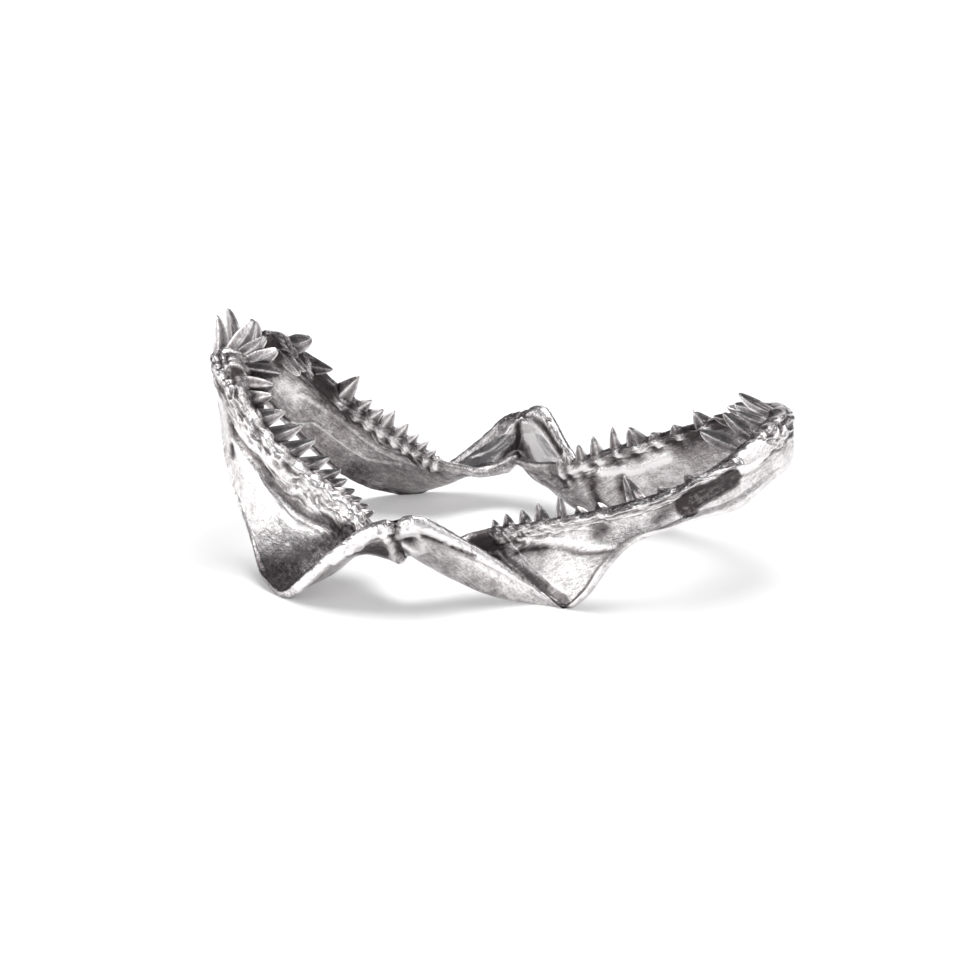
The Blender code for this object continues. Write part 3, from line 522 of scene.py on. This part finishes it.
def castRelief(jaw, teeth, features, u, points, middle, fromCrest, fromRim, face, side):
    # height in mm of the casting's relief, its tarnish and painted light, and places along and across the jaw for the
    # streaks
    crestLine = railPoints(jaw, side, "crest", u)
    steps = np.linalg.norm(np.diff(crestLine, axis=0), axis=1)
    length = np.concatenate([[0], np.cumsum(steps)])[:, None]
    labial = ramp(face, -0.4, 0.4) + np.zeros(points.shape[:2])  # 1 on the outer face, 0 on the inner one
    lingual = 1 - labial
    sided = points * np.array([1, side, 1])
    gumDepth = curveThrough(jaw["gumDepth"], u)
    gumHeight = curveThrough(jaw["gumHeight"], u)
    toothed = 1 - ramp(u[:, None], *cast["toothedTo"])
    lumps = layeredNoise(sided, *cast["lumps"])
    relief, nearTooth = toothRelief(jaw, teeth, length, u, fromCrest, labial, lumps)
    # between the teeth the crest dips, and the gum's edge is ragged and scalloped
    depth, *end = cast["crestDip"]
    relief -= depth * (1 - nearTooth) * (1 - ramp(fromCrest, *end)) * toothed
    ragged = ridgedNoise(sided, *cast["fineRagged"]) + ridgedNoise(sided, *cast["coarseRagged"])
    depth, *end = cast["ragged"]
    relief += depth * (0.6 * ragged - 0.5) * toothed * (1 - ramp(fromCrest, *end))
    wander = layeredNoise(sided, *cast["wander"])
    below, lift, wandering = cast["gumLine"]
    fromGumLine = fromCrest - (below - lift * nearTooth + wandering * wander)
    relief += toothed * (band(cast["gumEdge"], fromGumLine) - band(cast["gumGroove"], fromGumLine))
    # strands run along the jaw: ridged noise squeezed across it and stretched along it
    turned = side * ramp(length, 0, 20)
    alongStrand = length / cast["strandLength"] + 0 * face
    acrossStrand = fromCrest / cast["strandWidth"] + 1.5 * wander
    flow = np.stack([alongStrand, acrossStrand, face * 0.8 + turned], axis=-1)
    strands = 0.7 * ridgedNoise(flow, *cast["strands"]) + 0.3 * ridgedNoise(flow, *cast["fineStrands"])
    startOfEnd, endOfEnd = (gumDepth * share for share in cast["gumEnd"])
    gum = ramp(fromCrest, *cast["gumStart"]) * (1 - ramp(fromCrest, startOfEnd, endOfEnd))
    relief += cast["strandHeight"] * gumHeight * (strands - 0.55) * gum * (0.5 + 0.5 * labial)
    knots = ridgedNoise(sided, *cast["knots"]) * layeredNoise(sided, *cast["knotShare"])
    relief += cast["knotHeight"] * gumHeight * knots * gum
    # the plates are a little uneven, with shallow dents and grain
    relief += cast["waveHeight"] * layeredNoise(sided, *cast["waves"]) * ramp(fromCrest, 2, 10)
    plate = cast["plateGrainHeight"] * layeredNoise(sided, *cast["plateGrain"])
    plate += cast["creaseHeight"] * ridgedNoise(sided, *cast["creases"])
    relief += jaw["plateWave"] * plate
    # groove, ridge and granules along the rear rim
    rearRim = ramp(u[:, None], *cast["rearFrom"])
    rimBands = band(cast["rimGroove"], fromRim) - band(cast["rimRidge"], fromRim)
    relief -= rearRim * lingual * jaw["rimLine"] * rimBands
    rimward = band(cast["rimStrip"], fromRim) * rearRim
    granules = ridgedNoise(sided, *cast["granules"])
    relief += rimward * cast["granuleHeight"] * granules
    # tarnish and painted light: painted shade between the strands, on the inner face, on the band inside the rear rim
    # and as a shadow line beside it, a painted highlight on the rim with painted shade between its granules, and
    # random blotches of tarnish
    blotches = layeredNoise(sided, *cast["blotches"])
    line = jaw["rimLine"] * band(tones["rimLine"], fromRim)
    tarnishAndPaintedLight = rearRim * lingual * (line + jaw["bandShade"] * ramp(fromRim, 4, 8))
    tarnishAndPaintedLight += tones["betweenStrands"] * gum * (1 - strands) - tones["rimShine"] * rimward
    tarnishAndPaintedLight += jaw["innerShade"] * lingual * (1 - rearRim)
    tarnishAndPaintedLight += tones["blotches"] * blotches + tones["granules"] * rimward * (0.5 - granules)
    # painted highlights on the knobs inside each tooth, with painted shade in the sockets between them
    knobTone = tones["sockets"] - tones["knobs"] * nearTooth / jaw["collar"]
    tarnishAndPaintedLight += lingual * toothed * band(tones["innerTone"], fromCrest) * knobTone
    for sides, onFace, path, halfWidth, height, dark, *flat in features:
        if side in sides:
            faceShare = 1 if onFace == 0 else labial if onFace > 0 else lingual
            slow, quick = cast["wobble"]
            distance = pathDistance(jaw, side, path, middle) + halfWidth * (slow * wander + quick * blotches)
            share = bump(distance, halfWidth)
            if flat:  # a smooth patch of one tone with a sharp edge
                share = 1 - ramp(distance / halfWidth, *cast["flatEdge"])
                relief *= 1 - cast["flatness"] * share * faceShare
            relief += height * share * faceShare
            tarnishAndPaintedLight += dark * share * faceShare * (1 + jaw["blotch"] * blotches)
    return relief, np.clip(tarnishAndPaintedLight, -1, 2), length + 0 * face, fromCrest + 2 * wander + 0 * face


def loftHalf(jaw, teeth, features, side):
    # section rings: down the outer face from crest to rim, back up the inner face
    u = np.linspace(0, 1, meshing["alongSteps"] + 1)
    t = np.linspace(0, 1, meshing["acrossSteps"] + 1)
    v = 0.55 * t + 0.45 * (0.5 - 0.5 * np.cos(t * math.pi))
    middle = middleSheet(jaw, side, u, v)
    alongU = np.gradient(middle, u, axis=0)
    alongU[0] = (0, 1, 0)
    alongV = np.gradient(middle, v, axis=1)
    labialWay = unit(np.cross(alongU, alongV)) * jaw["labialSign"]
    width = np.linalg.norm(np.diff(middle, axis=1), axis=2).sum(axis=1)[:, None]
    thickness = (beadRadius(jaw, side, name, u) for name in ("plate", "crestBead", "rimBead"))
    half = halfThickness(v[None, :], width, *thickness)
    outer = middle + labialWay * half[..., None]
    inner = middle - labialWay * half[..., None]
    ring = np.concatenate([middle[:, :1], outer[:, 1:-1], middle[:, -1:], inner[:, -2:0:-1]], axis=1)
    around = np.concatenate([np.arange(len(v)), np.arange(len(v) - 2, 0, -1)])
    fromCrest = v[around][None, :] * width
    fromRim = (1 - v[around])[None, :] * width
    edge = np.minimum(fromCrest, fromRim)
    outward = np.concatenate([[0], np.ones(len(v) - 2), [0], -np.ones(len(v) - 2)])[None, :]
    face = outward * np.clip(edge / 3, 0, 1)  # 1 on the outer face, -1 on the inner face
    centre = middle[:, around]
    relief, *look = castRelief(jaw, teeth, features, u, ring, centre, fromCrest, fromRim, face, side)
    # where hollows of the two faces lie back to back, some metal is left between them
    faces = np.arange(1, len(v) - 1)
    metal = 2 * half[:, faces] + relief[:, faces] + relief[:, -faces]
    least = cast["leastMetal"] * np.minimum(1, half[:, faces])
    spare = np.clip(least - metal, 0, None) / 2
    relief[:, faces] += spare
    relief[:, -faces] += spare
    normals = surfaceNormals(ring)
    normals *= np.sign((normals * (ring - centre)).sum(-1).mean())  # out of the metal
    ring = ring + normals * relief[..., None]
    ring[0, :, 1] = 0
    ring[-1, :, 0] = jointX
    return ring, relief, *look


blade = {
    "leafTo": (0.24, 0.32),  # u over which the teeth turn from leaves to triangles
    "depth": 0.26,  # half the depth, in widths, and how much a triangular tooth's root adds
    "rootDepth": 0.12,
    "outerDepth": 0.6,  # the outer side's depth, as a share of the inner side's
    "blunt": 0.15,  # mm added all round, so that no edge is a knife's
    "curl": 0.25,  # of the blade towards the mouth, in heights
    "dentDepth": 0.16,
    "dents": (5.0, 2, 61),
    "blotches": (3.0, 2, 95),
    "paintedLightRange": (-0.9, 0.5),  # painted shade at the root to painted highlight at the tip
    "darkerStretchAt": (0.31, 0.06),  # u and width of a darker stretch of the row
}


def toothGrids(jaw, teeth, side):
    # a tooth's sections are lenses, flatter outside; it is a leaf at the front and a triangle further back:
    # leaf (1-s)^0.5 (0.72 + 0.62 ramp(s)), triangle 1.4 (1-s)^0.72, with s from the root (0) to the tip (1)
    table = np.array(teeth, float)
    u, inset, sink, wide, twist = (table[:, k] for k in (0, 1, 2, 6, 7))
    tips = table[:, 3:6]
    leaf = (1 - ramp(u, *blade["leafTo"]))[:, None]
    crest = middleSheet(jaw, side, u, np.array([0.0, 0.08]))
    back = unit(railPoints(jaw, side, "crest", u + 0.004) - railPoints(jaw, side, "crest", u - 0.004))
    out = crest[:, 0] - crest[:, 1]
    out = unit(out - back * (out * back).sum(1, keepdims=True))
    inward = unit(np.cross(back, out)) * jaw["labialSign"]
    bead = beadRadius(jaw, side, "crestBead", u)
    roots = crest[:, 0] - out * bead * sink[:, None] + inward * inset[:, None]
    up = tips - roots
    height = np.linalg.norm(up, axis=1)
    across = unit(back - up * (back * up).sum(1, keepdims=True) / height[:, None] ** 2)
    face = unit(np.cross(up, across))
    face = face * np.sign((face * inward).sum(1, keepdims=True))
    cosTwist, sinTwist = np.cos(np.radians(twist))[:, None], np.sin(np.radians(twist))[:, None]
    across, face = across * cosTwist + face * sinTwist, face * cosTwist - across * sinTwist
    level = np.linspace(0, 1, meshing["toothRings"])[None, :]
    turn = np.linspace(0, 2 * math.pi, meshing["toothSides"], endpoint=False)
    wide, height = wide[:, None], height[:, None]
    leafShape = (1 - level) ** 0.5 * (0.72 + 0.62 * ramp(level, 0, 0.6))
    triangle = 1.4 * (1 - level) ** 0.72
    halfWidth = wide / 2 * (leaf * leafShape + (1 - leaf) * triangle) + blade["blunt"]
    thicker = blade["rootDepth"] * (1 - leaf) * (1 - ramp(level, 0.15, 0.5))
    halfDepth = wide * (blade["depth"] + thicker) * (1 - level) ** 0.7 + blade["blunt"]
    lens = np.sign(np.sin(turn)) * (1 - np.abs(np.cos(turn)))
    lens = np.where(lens < 0, lens * blade["outerDepth"], lens)
    centre = roots[:, None] + up[:, None] * level[..., None]
    centre = centre + inward[:, None] * (height * blade["curl"] * (level - level**2))[..., None]
    grid = (
        centre[:, :, None]
        + across[:, None, None] * (halfWidth[..., None] * np.cos(turn))[..., None]
        + face[:, None, None] * (halfDepth[..., None] * lens)[..., None]
    )
    dents = blade["dentDepth"] * layeredNoise(grid * np.array([1, side, 1]), *blade["dents"])
    away = unit(grid - centre[:, :, None])
    return grid + away * (dents * np.sqrt(1 - level)[..., None])[..., None]


def gridFaces(rows, around, start):
    # quads between neighbouring rings of a closed tube
    index = start + np.arange(rows * around).reshape(rows, around)
    following = np.roll(index, -1, axis=1)
    return np.stack([index[:-1], following[:-1], following[1:], index[1:]], axis=-1).reshape(-1, 4)


def fanFaces(ring, pole, reverse):
    # a triangle from each edge of a ring to its pole
    following = np.roll(ring, -1)
    fan = np.stack([ring, following, np.full(len(ring), pole)], axis=-1)
    return fan[:, ::-1] if reverse else fan


class Shell:
    # gathers closed tubes, each a grid of rings with its two ends closed, into one mesh
    def __init__(self):
        self.points, self.quads, self.tris, self.values, self.slots = [], [], [], [], []
        self.count = 0

    def add(self, grid, values, slot, stripCaps=False):
        rows, around = grid.shape[:2]
        start = self.count
        points = grid.reshape(-1, 3)
        spread = [np.broadcast_to(value, (rows, around)).reshape(-1) for value in values]
        values = np.stack(spread, axis=1)
        quads = gridFaces(rows, around, start)
        tris = np.zeros((0, 3), int)
        if stripCaps:  # an end that is a long thin loop is closed by strips from one face to the other
            half = around // 2
            inside = np.arange(1, half - 1)
            for row, turned in ((0, True), (rows - 1, False)):
                base = start + row * around
                strip = base + np.stack([inside, inside + 1, around - inside - 1, around - inside], axis=-1)
                ends = base + np.array([[0, 1, around - 1], [half - 1, half, half + 1]])
                quads = np.concatenate([quads, strip[:, ::-1] if turned else strip])
                tris = np.concatenate([tris, ends[:, ::-1] if turned else ends])
        else:
            points = np.concatenate([points, grid[0].mean(0)[None], grid[-1].mean(0)[None]])
            values = np.concatenate([values, values[:1], values[-1:]])
            first = start + np.arange(around)
            pole = start + rows * around
            tris = np.concatenate(
                [fanFaces(first, pole, True), fanFaces(first + (rows - 1) * around, pole + 1, False)]
            )
        # turn the whole tube round if its faces look inwards
        corners = np.concatenate([quads[:, :3], quads[:, [0, 2, 3]], tris]) - start
        a, b, c = (points[corners[:, k]] - points.mean(0) for k in range(3))
        if (a * np.cross(b, c)).sum() < 0:
            quads, tris = quads[:, ::-1], tris[:, ::-1]
        self.points.append(points)
        self.values.append(values)
        self.quads.append(quads)
        self.tris.append(tris)
        self.slots.append((len(quads), len(tris), slot))
        self.count += len(points)

    def build(self, name, materials):
        points = np.concatenate(self.points)
        quads, tris = np.concatenate(self.quads), np.concatenate(self.tris)
        mesh = bpy.data.meshes.new(name)
        mesh.vertices.add(len(points))
        mesh.vertices.foreach_set("co", points.astype(np.float32).ravel())
        corners = np.concatenate([quads.ravel(), tris.ravel()]).astype(np.int32)
        mesh.loops.add(len(corners))
        mesh.loops.foreach_set("vertex_index", corners)
        starts = np.concatenate([np.arange(len(quads)) * 4, len(quads) * 4 + np.arange(len(tris)) * 3])
        mesh.polygons.add(len(starts))
        mesh.polygons.foreach_set("loop_start", starts.astype(np.int32))
        slots = [np.full(q, s) for q, t, s in self.slots] + [np.full(t, s) for q, t, s in self.slots]
        mesh.polygons.foreach_set("material_index", np.concatenate(slots).astype(np.int32))
        mesh.update(calc_edges=True)
        mesh.validate()
        mesh.shade_smooth()
        for label, column in zip(surfaceValues, np.concatenate(self.values).T):
            layer = mesh.attributes.new(label, "FLOAT", "POINT")
            layer.data.foreach_set("value", column.astype(np.float32))
        for material in materials:
            mesh.materials.append(material)
        piece = bpy.data.objects.new(name, mesh)
        bpy.context.scene.collection.objects.link(piece)
        return piece


def linearColour(hexCode):
    # sRGB hex to linear RGBA
    parts = [int(hexCode[i : i + 2], 16) / 255 for i in (1, 3, 5)]
    return tuple(p / 12.92 if p <= 0.04045 else ((p + 0.055) / 1.055) ** 2.4 for p in parts) + (1.0,)


def addNode(tree, kind, settings=None, inputs=None, links=None):
    # one node with its settings, socket values and incoming links
    node = tree.nodes.new(kind)
    for key, value in (settings or {}).items():
        setattr(node, key, value)
    for key, value in (inputs or {}).items():
        node.inputs[key].default_value = value
    for key, source in (links or {}).items():
        tree.links.new(source, node.inputs[key])
    return node


def castAluminium(name, look):
    # aluminium cast in sand and buffed: bright on the high places, grey and grainy in the hollows
    material = bpy.data.materials.new(name)
    material.use_nodes = True
    tree = material.node_tree
    shader = tree.nodes["Principled BSDF"]
    shader.inputs["Metallic"].default_value = 1.0
    place = addNode(tree, "ShaderNodeTexCoord").outputs["Object"]
    relief, tarnishAndPaintedLight, along, across = (
        addNode(tree, "ShaderNodeAttribute", {"attribute_name": label}).outputs["Fac"] for label in surfaceValues
    )
    sheet = addNode(tree, "ShaderNodeCombineXYZ", links={"X": along, "Y": across})
    stretched = addNode(
        tree, "ShaderNodeVectorMath", {"operation": "MULTIPLY"},
        {1: (1 / look["streakMm"][0], 1 / look["streakMm"][1], 1)}, {0: sheet.outputs["Vector"]},
    )
    grain, streaks, patches = (
        addNode(
            tree, "ShaderNodeTexNoise", inputs={"Scale": scale, "Detail": detail, "Roughness": roughness},
            links={"Vector": vector},
        )
        for scale, detail, roughness, vector in (
            (1 / (look["grainMm"] * mm), 4.0, 0.7, place),
            (1.0, 4.0, 0.7, stretched.outputs["Vector"]),
            (1 / (look["patchMm"] * mm), 5.0, 0.65, place),
        )
    )
    texture = addNode(
        tree, "ShaderNodeMix", {"data_type": "FLOAT"}, {"Factor": look["streakShare"]},
        {"A": grain.outputs["Fac"], "B": streaks.outputs["Fac"]},
    )
    pits = addNode(
        tree, "ShaderNodeTexVoronoi", {"feature": "F1"}, {"Scale": 1 / (look["pitMm"] * mm)}, {"Vector": place},
    )
    pitDepth = addNode(
        tree, "ShaderNodeMapRange", inputs={"From Min": 0.05, "From Max": 0.38},
        links={"Value": pits.outputs["Distance"]},
    )
    height = addNode(
        tree, "ShaderNodeMapRange", inputs={"From Min": -1.0, "From Max": 0.7}, links={"Value": relief},
    )
    worn = addNode(
        tree, "ShaderNodeMath", {"operation": "ADD"},
        links={0: height.outputs["Result"], 1: patches.outputs["Fac"]},
    )
    # subtracting the tarnish value darkens the tone with tarnish and painted shade and brightens it with painted
    # highlights
    toneWithPaintedLight = addNode(
        tree, "ShaderNodeMath", {"operation": "SUBTRACT"}, links={0: worn.outputs["Value"], 1: tarnishAndPaintedLight},
    )
    speckled = addNode(
        tree, "ShaderNodeMath", {"operation": "MULTIPLY_ADD"}, {1: look["speckle"]},
        {0: texture.outputs["Result"], 2: toneWithPaintedLight.outputs["Value"]},
    )
    shade = addNode(
        tree, "ShaderNodeMapRange",
        inputs={"From Min": look["speckle"] / 2 - 0.15, "From Max": look["speckle"] / 2 + 1.25},
        links={"Value": speckled.outputs["Value"]},
    )
    colour = addNode(tree, "ShaderNodeValToRGB", links={"Fac": shade.outputs["Result"]})
    colour.color_ramp.elements[0].color = linearColour(look["hollow"])
    colour.color_ramp.elements[1].color = linearColour(look["bright"])
    middle = colour.color_ramp.elements.new(0.5)
    middle.color = linearColour(look["middle"])
    rough = addNode(
        tree, "ShaderNodeMapRange",
        inputs={"To Min": look["roughHollow"], "To Max": look["roughBright"]},
        links={"Value": shade.outputs["Result"]},
    )
    fine = addNode(
        tree, "ShaderNodeBump", inputs={"Strength": look["grainStrength"], "Distance": look["grainHeight"] * mm},
        links={"Height": texture.outputs["Result"]},
    )
    pitted = addNode(
        tree, "ShaderNodeBump", inputs={"Strength": look["pitStrength"], "Distance": look["pitHeight"] * mm},
        links={"Height": pitDepth.outputs["Result"], "Normal": fine.outputs["Normal"]},
    )
    tree.links.new(colour.outputs["Color"], shader.inputs["Base Color"])
    tree.links.new(rough.outputs["Result"], shader.inputs["Roughness"])
    tree.links.new(pitted.outputs["Normal"], shader.inputs["Normal"])
    return material


bodyMetal = castAluminium(
    "polishedCastAluminium",
    {
        "hollow": "#474142", "middle": "#9B9596", "bright": "#F4F1F1", "roughHollow": 0.36, "roughBright": 0.13,
        # sand grain of about 0.3 mm, drawn coarser so that it shows
        "grainMm": 1.0, "grainStrength": 1.0, "grainHeight": 0.44, "speckle": 2.4,
        "patchMm": 9.0, "pitMm": 1.9, "pitStrength": 0.35, "pitHeight": 0.12,
        "streakMm": (6.0, 0.9), "streakShare": 0.5,
    },
)
toothMetal = castAluminium(
    "buffedToothAluminium",
    {
        "hollow": "#4B4546", "middle": "#9F999A", "bright": "#F3F1F1", "roughHollow": 0.3, "roughBright": 0.11,
        "grainMm": 1.4, "grainStrength": 0.8, "grainHeight": 0.27, "speckle": 1.3,
        "patchMm": 5.0, "pitMm": 3.0, "pitStrength": 0.15, "pitHeight": 0.08,
        "streakMm": (4.0, 1.2), "streakShare": 0.4,
    },
)

for node, name, jaw, teeth, features, side in (
    ("lower_jaw_left", "lowerJawLeft", lowerJaw, lowerTeeth, lowerFeatures, -1),
    ("lower_jaw_right", "lowerJawRight", lowerJaw, lowerTeeth, lowerFeatures, 1),
    ("upper_jaw_left", "upperJawLeft", upperJaw, upperTeeth, upperFeatures, -1),
    ("upper_jaw_right", "upperJawRight", upperJaw, upperTeeth, upperFeatures, 1),
):
    shell = Shell()
    ring, *looks = loftHalf(jaw, teeth[side], features, side)
    shell.add(inPlace(jaw, ring, side), looks, 0, stripCaps=True)
    # a tooth gets painted shade at its root, on its faces, on one side and as a dark outline, and painted highlights
    # along its edges, its ridge and towards its tip; random blotches and a darker stretch of the row are added
    turn = np.linspace(0, 2 * math.pi, meshing["toothSides"], endpoint=False)[None, :]
    fromRidge = np.abs(np.cos(turn))
    for tooth, grid in zip(teeth[side], toothGrids(jaw, teeth[side], side)):
        paintedRootToTipLight = np.linspace(*blade["paintedLightRange"], len(grid))[:, None] + 0 * turn
        toothPaintedLightAndBlotches = 0.5 * bump(fromRidge - 0.5, 0.3) - 0.35 * bump(fromRidge - 0.88, 0.1)
        toothPaintedLightAndBlotches = toothPaintedLightAndBlotches + 0.5 * bump(fromRidge - 1, 0.04) - 0.2 * bump(fromRidge, 0.12)
        toothPaintedLightAndBlotches = toothPaintedLightAndBlotches + 0.3 * ramp(np.cos(turn), -0.05, 0.05) + 0.15 * layeredNoise(grid, *blade["blotches"])
        toothPaintedLightAndBlotches = toothPaintedLightAndBlotches + 0.5 * bump(tooth[0] - blade["darkerStretchAt"][0], blade["darkerStretchAt"][1])
        # the painted light from root to tip fills the tooth's relief value
        shell.add(inPlace(jaw, grid, side), (paintedRootToTipLight, toothPaintedLightAndBlotches, grid[..., 2], grid[..., 0] + grid[..., 1]), 1)
    piece = shell.build(name, [bodyMetal, toothMetal])
    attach(piece, "root")
    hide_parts(node)
    print(name, "built:", len(piece.data.polygons), "faces")

# Floor
floorMaterial = bpy.data.materials.new("matteWhiteTable")
floorMaterial.use_nodes = True
floorShader = floorMaterial.node_tree.nodes["Principled BSDF"]
for socket, value in (
    ("Base Color", linearColour("#F2F2F2")), ("Emission Color", linearColour("#FFFFFF")),
    ("Emission Strength", 0.22),  # a table lit a little from below
    ("Roughness", 0.8), ("Specular IOR Level", 0.0),
):
    floorShader.inputs[socket].default_value = value
floorMesh = bpy.data.meshes.new("floor")
floorMesh.from_pydata([(-14, -14, 0), (14, -14, 0), (14, 14, 0), (-14, 14, 0)], [], [(0, 1, 2, 3)])
floorMesh.materials.append(floorMaterial)
floor = bpy.data.objects.new("floor", floorMesh)
bpy.context.scene.collection.objects.link(floor)

# Soft lamp over the table, hidden from reflections: it gives the shadow under the jaw
overhead = {"heading": 100, "height": 84, "angle": 36, "strength": 1.1}
lampData = bpy.data.lights.new("overhead", "SUN")
lampData.energy = overhead["strength"]
lampData.angle = math.radians(overhead["angle"])
lamp = bpy.data.objects.new("overhead", lampData)
bpy.context.scene.collection.objects.link(lamp)
lamp.rotation_euler = (0, math.radians(90 - overhead["height"]), math.radians(overhead["heading"]))
lamp.visible_glossy = False

# Studio: a dim room with large soft lights round the table, each given by its heading, height and radius in
# degrees, and its strength
studio = {
    "room": "#6E6E70",
    "roomStrength": 0.85,
    "lights": [
        ("frontLeftBox", -135, 17, 22, 2.7), ("leftWindow", 178, 8, 18, 1.8), ("frontBox", -86, 20, 15, 1.5),
        ("rightFrontBox", -38, 24, 14, 1.3), ("rightBox", 15, 27, 20, 1.8), ("backLeftBox", 98, 22, 18, 1.4),
        ("ceiling", 20, 75, 22, 3.6),
    ],
    "edge": 7,  # degrees over which a light fades out
}
world = bpy.data.worlds.new("studio")
bpy.context.scene.world = world
world.use_nodes = True
sky = world.node_tree
skyView = addNode(sky, "ShaderNodeTexCoord")
total = None
for label, heading, height, radius, strength in studio["lights"]:
    h, e = math.radians(heading), math.radians(height)
    toward = (math.cos(e) * math.cos(h), math.cos(e) * math.sin(h), math.sin(e))
    facing = addNode(
        sky, "ShaderNodeVectorMath", {"operation": "DOT_PRODUCT", "label": label}, {1: toward},
        {0: skyView.outputs["Generated"]},
    )
    glow = addNode(
        sky, "ShaderNodeMapRange", {"interpolation_type": "SMOOTHSTEP"},
        {
            "From Min": math.cos(math.radians(radius)),
            "From Max": math.cos(math.radians(radius - studio["edge"])),
            "To Max": strength,
        },
        {"Value": facing.outputs["Value"]},
    )
    if total is None:
        total = glow.outputs["Result"]
    else:
        total = addNode(
            sky, "ShaderNodeMath", {"operation": "ADD"}, links={0: total, 1: glow.outputs["Result"]}
        ).outputs["Value"]
background = sky.nodes["Background"]
background.inputs["Color"].default_value = linearColour(studio["room"])
background.inputs["Strength"].default_value = studio["roomStrength"]
lamps = addNode(sky, "ShaderNodeBackground", inputs={"Color": (1, 1, 1, 1)}, links={"Strength": total})
roomAndLamps = addNode(
    sky, "ShaderNodeAddShader", links={0: background.outputs["Background"], 1: lamps.outputs["Background"]}
)
sky.links.new(roomAndLamps.outputs["Shader"], sky.nodes["World Output"].inputs["Surface"])

# Camera, solved from matching points on the two halves of the jaw in the photograph
view = {
    "azimuth": 17, "elevation": 15, "distance": 1.2, "focalPx": 2352, "centrePx": (500, 470), "frame": (970, 971),
    "sensorMm": 36, "aimHeight": 0.045,
}
aim = Vector((-ringCentreX * mm, 0, view["aimHeight"]))
a, e = math.radians(view["azimuth"]), math.radians(view["elevation"])
backWay = Vector((math.sin(a) * math.cos(e), -math.cos(a) * math.cos(e), math.sin(e)))
rightWay = Vector((math.cos(a), math.sin(a), 0))
upWay = backWay.cross(rightWay)
cameraData = bpy.data.cameras.new("camera")
camera = bpy.data.objects.new("camera", cameraData)
bpy.context.scene.collection.objects.link(camera)
pose = Matrix((rightWay, upWay, backWay)).transposed().to_4x4()
pose.translation = aim + backWay * view["distance"]
camera.matrix_world = pose
cameraData.sensor_width = view["sensorMm"]
cameraData.lens = view["focalPx"] * view["sensorMm"] / view["frame"][0]
cameraData.shift_x = (view["frame"][0] / 2 - view["centrePx"][0]) / view["frame"][0]
cameraData.shift_y = (view["centrePx"][1] - view["frame"][1] / 2) / view["frame"][0]
cameraData.clip_start = 0.02
cameraData.clip_end = 60
bpy.context.scene.camera = camera
bpy.context.scene.view_settings.view_transform = "Standard"

bpy.context.view_layer.update()
